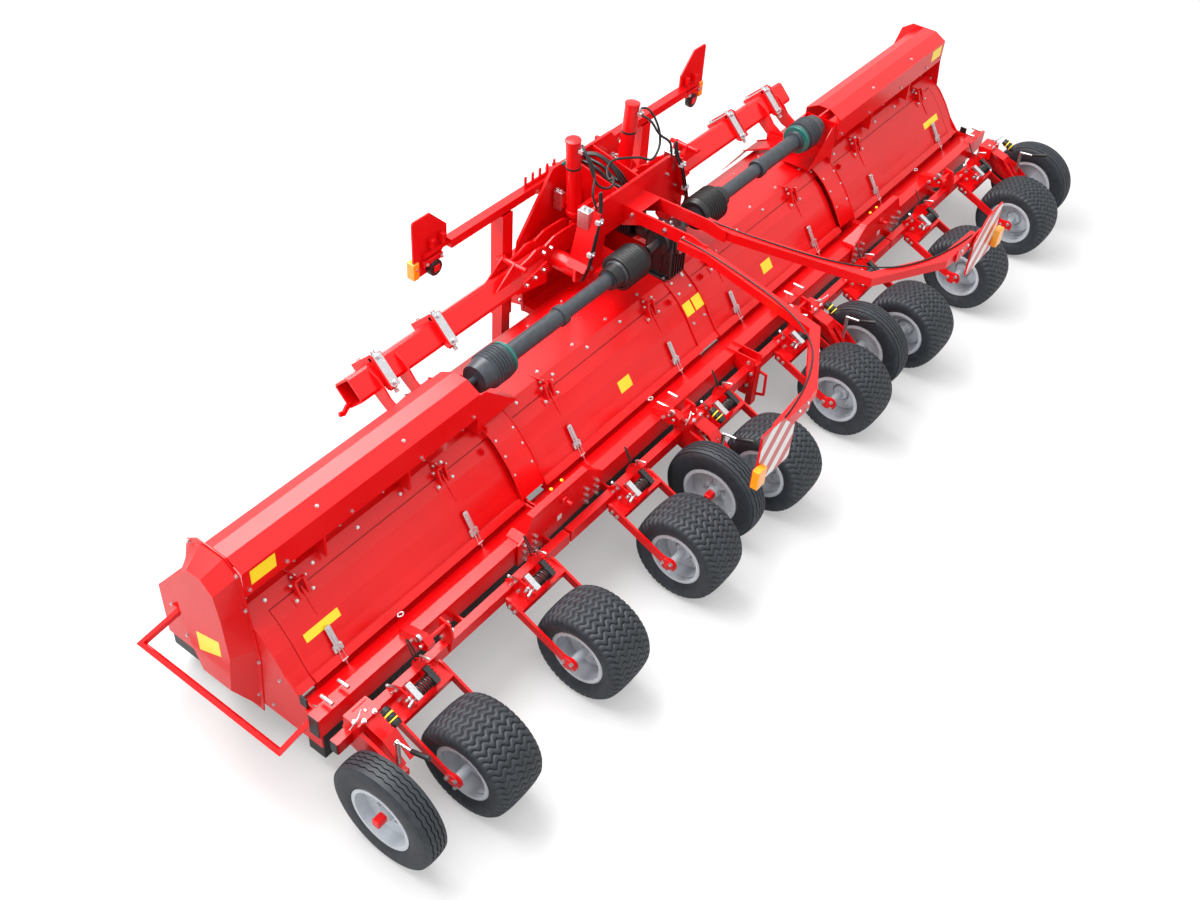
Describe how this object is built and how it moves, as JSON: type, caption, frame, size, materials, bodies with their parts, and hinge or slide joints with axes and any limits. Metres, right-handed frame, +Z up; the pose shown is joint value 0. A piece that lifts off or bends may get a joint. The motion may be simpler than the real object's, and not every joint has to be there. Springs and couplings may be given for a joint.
{
  "type": "folding haulm topper",
  "caption": "Folding mounted haulm topper with hinged wings, flail rotors, rear lids, row wheels, support wheels and a three-point headstock.",
  "frame": {"origin": "on the ground, midway between the machine's two ends and between its front and rear", "axes": "+X to the machine's right, +Y forwards to the tractor, +Z up"},
  "size_m": [7.647, 2.58, 1.7673],
  "materials": {
    "red_paint": "gloss",
    "tyre_rubber": "matt",
    "rim_silver": "satin",
    "black_guard": "satin",
    "rubber_flap": "matt",
    "hose_rubber": "satin",
    "rotor_steel": "satin"
  },
  "bodies": {
    "centre": {"centre_frame": "red_paint", "centre_hood": "red_paint", "centre_rear_frame": "red_paint", "centre_flaps": "rubber_flap", "stand_sleeves": "red_paint", "front_light_bar": "red_paint", "rear_light_arms": "red_paint", "gearbox": "black_guard", "hoses": "hose_rubber"},
    "left_wing": {"left_hood": "red_paint", "left_rear_frame": "red_paint", "left_fold_beam": "red_paint", "left_drive_cover": "red_paint", "left_flaps": "rubber_flap"},
    "right_wing": {"right_hood": "red_paint", "right_rear_frame": "red_paint", "right_fold_beam": "red_paint", "right_drive_cover": "red_paint", "right_flaps": "rubber_flap"},
    "left_lid_body": {"left_lid": "red_paint"},
    "centre_left_lid_body": {"centre_left_lid": "red_paint"},
    "centre_right_lid_body": {"centre_right_lid": "red_paint"},
    "right_lid_body": {"right_lid": "red_paint"},
    "left_rotor_body": {"left_rotor": "rotor_steel"},
    "centre_rotor_body": {"centre_rotor": "rotor_steel"},
    "right_rotor_body": {"right_rotor": "rotor_steel"},
    "left_outer_wheel": {"left_outer_tyre": "tyre_rubber", "left_outer_rim": "rim_silver"},
    "left_inner_wheel": {"left_inner_tyre": "tyre_rubber", "left_inner_rim": "rim_silver"},
    "centre_left_outer_wheel": {"centre_left_outer_tyre": "tyre_rubber", "centre_left_outer_rim": "rim_silver"},
    "centre_left_inner_wheel": {"centre_left_inner_tyre": "tyre_rubber", "centre_left_inner_rim": "rim_silver"},
    "centre_right_inner_wheel": {"centre_right_inner_tyre": "tyre_rubber", "centre_right_inner_rim": "rim_silver"},
    "centre_right_outer_wheel": {"centre_right_outer_tyre": "tyre_rubber", "centre_right_outer_rim": "rim_silver"},
    "right_inner_wheel": {"right_inner_tyre": "tyre_rubber", "right_inner_rim": "rim_silver"},
    "right_outer_wheel": {"right_outer_tyre": "tyre_rubber", "right_outer_rim": "rim_silver"},
    "support_left_outer_wheel": {"support_left_outer_tyre": "tyre_rubber", "support_left_outer_rim": "rim_silver"},
    "support_left_inner_wheel": {"support_left_inner_tyre": "tyre_rubber", "support_left_inner_rim": "rim_silver"},
    "support_right_inner_wheel": {"support_right_inner_tyre": "tyre_rubber", "support_right_inner_rim": "rim_silver"},
    "support_right_outer_wheel": {"support_right_outer_tyre": "tyre_rubber", "support_right_outer_rim": "rim_silver"},
    "left_barrel_body": {"left_fold_barrel": "red_paint"},
    "left_rod_body": {"left_fold_rod": "red_paint"},
    "right_barrel_body": {"right_fold_barrel": "red_paint"},
    "right_rod_body": {"right_fold_rod": "red_paint"},
    "left_shaft_inner_body": {"left_shaft_inner": "black_guard"},
    "left_shaft_outer_body": {"left_shaft_outer": "black_guard"},
    "right_shaft_inner_body": {"right_shaft_inner": "black_guard"},
    "right_shaft_outer_body": {"right_shaft_outer": "black_guard"},
    "left_stand_body": {"left_stand": "red_paint"},
    "right_stand_body": {"right_stand": "red_paint"}
  },
  "joints": [
    {"name": "left_fold", "type": "hinge", "parent": "centre", "child": "left_wing", "pos_m": [-0.5, 0.855, 1.03], "axis": [0, 1, 0], "range_deg": [0, 90]},
    {"name": "right_fold", "type": "hinge", "parent": "centre", "child": "right_wing", "pos_m": [0.5, 0.855, 1.03], "axis": [0, -1, 0], "range_deg": [0, 90]},
    {"name": "left_lid_hinge", "type": "hinge", "parent": "left_wing", "child": "left_lid_body", "pos_m": [-2.7, 0.176, 0.902], "axis": [-1, 0, 0], "range_deg": [0, 50]},
    {"name": "centre_left_lid_hinge", "type": "hinge", "parent": "centre", "child": "centre_left_lid_body", "pos_m": [-0.9, 0.176, 0.902], "axis": [-1, 0, 0], "range_deg": [0, 50]},
    {"name": "centre_right_lid_hinge", "type": "hinge", "parent": "centre", "child": "centre_right_lid_body", "pos_m": [0.9, 0.176, 0.902], "axis": [-1, 0, 0], "range_deg": [0, 50]},
    {"name": "right_lid_hinge", "type": "hinge", "parent": "right_wing", "child": "right_lid_body", "pos_m": [2.7, 0.176, 0.902], "axis": [-1, 0, 0], "range_deg": [0, 50]},
    {"name": "left_rotor_spin", "type": "hinge", "parent": "left_wing", "child": "left_rotor_body", "pos_m": [-2.7, 0.405, 0.48], "axis": [1, 0, 0], "continuous": true},
    {"name": "centre_rotor_spin", "type": "hinge", "parent": "centre", "child": "centre_rotor_body", "pos_m": [0, 0.405, 0.48], "axis": [1, 0, 0], "continuous": true},
    {"name": "right_rotor_spin", "type": "hinge", "parent": "right_wing", "child": "right_rotor_body", "pos_m": [2.7, 0.405, 0.48], "axis": [1, 0, 0], "continuous": true},
    {"name": "left_outer_spin", "type": "hinge", "parent": "left_wing", "child": "left_outer_wheel", "pos_m": [-3.15, -0.885, 0.285], "axis": [1, 0, 0], "continuous": true},
    {"name": "left_inner_spin", "type": "hinge", "parent": "left_wing", "child": "left_inner_wheel", "pos_m": [-2.25, -0.885, 0.285], "axis": [1, 0, 0], "continuous": true},
    {"name": "centre_left_outer_spin", "type": "hinge", "parent": "centre", "child": "centre_left_outer_wheel", "pos_m": [-1.35, -0.885, 0.285], "axis": [1, 0, 0], "continuous": true},
    {"name": "centre_left_inner_spin", "type": "hinge", "parent": "centre", "child": "centre_left_inner_wheel", "pos_m": [-0.45, -0.885, 0.285], "axis": [1, 0, 0], "continuous": true},
    {"name": "centre_right_inner_spin", "type": "hinge", "parent": "centre", "child": "centre_right_inner_wheel", "pos_m": [0.45, -0.885, 0.285], "axis": [1, 0, 0], "continuous": true},
    {"name": "centre_right_outer_spin", "type": "hinge", "parent": "centre", "child": "centre_right_outer_wheel", "pos_m": [1.35, -0.885, 0.285], "axis": [1, 0, 0], "continuous": true},
    {"name": "right_inner_spin", "type": "hinge", "parent": "right_wing", "child": "right_inner_wheel", "pos_m": [2.25, -0.885, 0.285], "axis": [1, 0, 0], "continuous": true},
    {"name": "right_outer_spin", "type": "hinge", "parent": "right_wing", "child": "right_outer_wheel", "pos_m": [3.15, -0.885, 0.285], "axis": [1, 0, 0], "continuous": true},
    {"name": "support_left_outer_spin", "type": "hinge", "parent": "left_wing", "child": "support_left_outer_wheel", "pos_m": [-3.665, -0.767, 0.312], "axis": [1, 0, 0], "continuous": true},
    {"name": "support_left_inner_spin", "type": "hinge", "parent": "centre", "child": "support_left_inner_wheel", "pos_m": [-0.9, -0.767, 0.312], "axis": [1, 0, 0], "continuous": true},
    {"name": "support_right_inner_spin", "type": "hinge", "parent": "centre", "child": "support_right_inner_wheel", "pos_m": [0.9, -0.767, 0.312], "axis": [1, 0, 0], "continuous": true},
    {"name": "support_right_outer_spin", "type": "hinge", "parent": "right_wing", "child": "support_right_outer_wheel", "pos_m": [3.665, -0.767, 0.312], "axis": [1, 0, 0], "continuous": true},
    {"name": "left_barrel_tilt", "type": "hinge", "parent": "centre", "child": "left_barrel_body", "pos_m": [-0.258, 0.855, 1.28], "axis": [0, 1, 0], "range_deg": [0, 21.02]},
    {"name": "left_rod_slide", "type": "slide", "parent": "left_barrel_body", "child": "left_rod_body", "axis": [0.0929, 0, -0.9957], "range_m": [0, 0.37491]},
    {"name": "right_barrel_tilt", "type": "hinge", "parent": "centre", "child": "right_barrel_body", "pos_m": [0.258, 0.855, 1.28], "axis": [0, -1, 0], "range_deg": [0, 21.02]},
    {"name": "right_rod_slide", "type": "slide", "parent": "right_barrel_body", "child": "right_rod_body", "axis": [-0.0929, 0, -0.9957], "range_m": [0, 0.37491]},
    {"name": "left_shaft_swing", "type": "hinge", "parent": "centre", "child": "left_shaft_inner_body", "pos_m": [-0.25, 0.315, 1.16], "axis": [0, 1, 0], "range_deg": [0, 84.53]},
    {"name": "left_shaft_slide", "type": "slide", "parent": "left_shaft_inner_body", "child": "left_shaft_outer_body", "axis": [1, 0, 0], "range_m": [0, 0.37426]},
    {"name": "right_shaft_swing", "type": "hinge", "parent": "centre", "child": "right_shaft_inner_body", "pos_m": [0.25, 0.315, 1.16], "axis": [0, -1, 0], "range_deg": [0, 84.53]},
    {"name": "right_shaft_slide", "type": "slide", "parent": "right_shaft_inner_body", "child": "right_shaft_outer_body", "axis": [-1, 0, 0], "range_m": [0, 0.37426]},
    {"name": "left_stand_slide", "type": "slide", "parent": "centre", "child": "left_stand_body", "axis": [0, 0, 1], "range_m": [0, 0.5]},
    {"name": "right_stand_slide", "type": "slide", "parent": "centre", "child": "right_stand_body", "axis": [0, 0, 1], "range_m": [0, 0.5]}
  ],
  "couplings": [
    {"joint": "left_barrel_tilt", "follows": "left_fold", "ratio": 0.23342},
    {"joint": "left_rod_slide", "follows": "left_fold", "m_per_rad": 0.23867},
    {"joint": "right_barrel_tilt", "follows": "right_fold", "ratio": 0.23342},
    {"joint": "right_rod_slide", "follows": "right_fold", "m_per_rad": 0.23867},
    {"joint": "left_shaft_swing", "follows": "left_fold", "ratio": 0.93907},
    {"joint": "left_shaft_slide", "follows": "left_fold", "m_per_rad": 0.23826},
    {"joint": "right_shaft_swing", "follows": "right_fold", "ratio": 0.93907},
    {"joint": "right_shaft_slide", "follows": "right_fold", "m_per_rad": 0.23826}
  ]
}
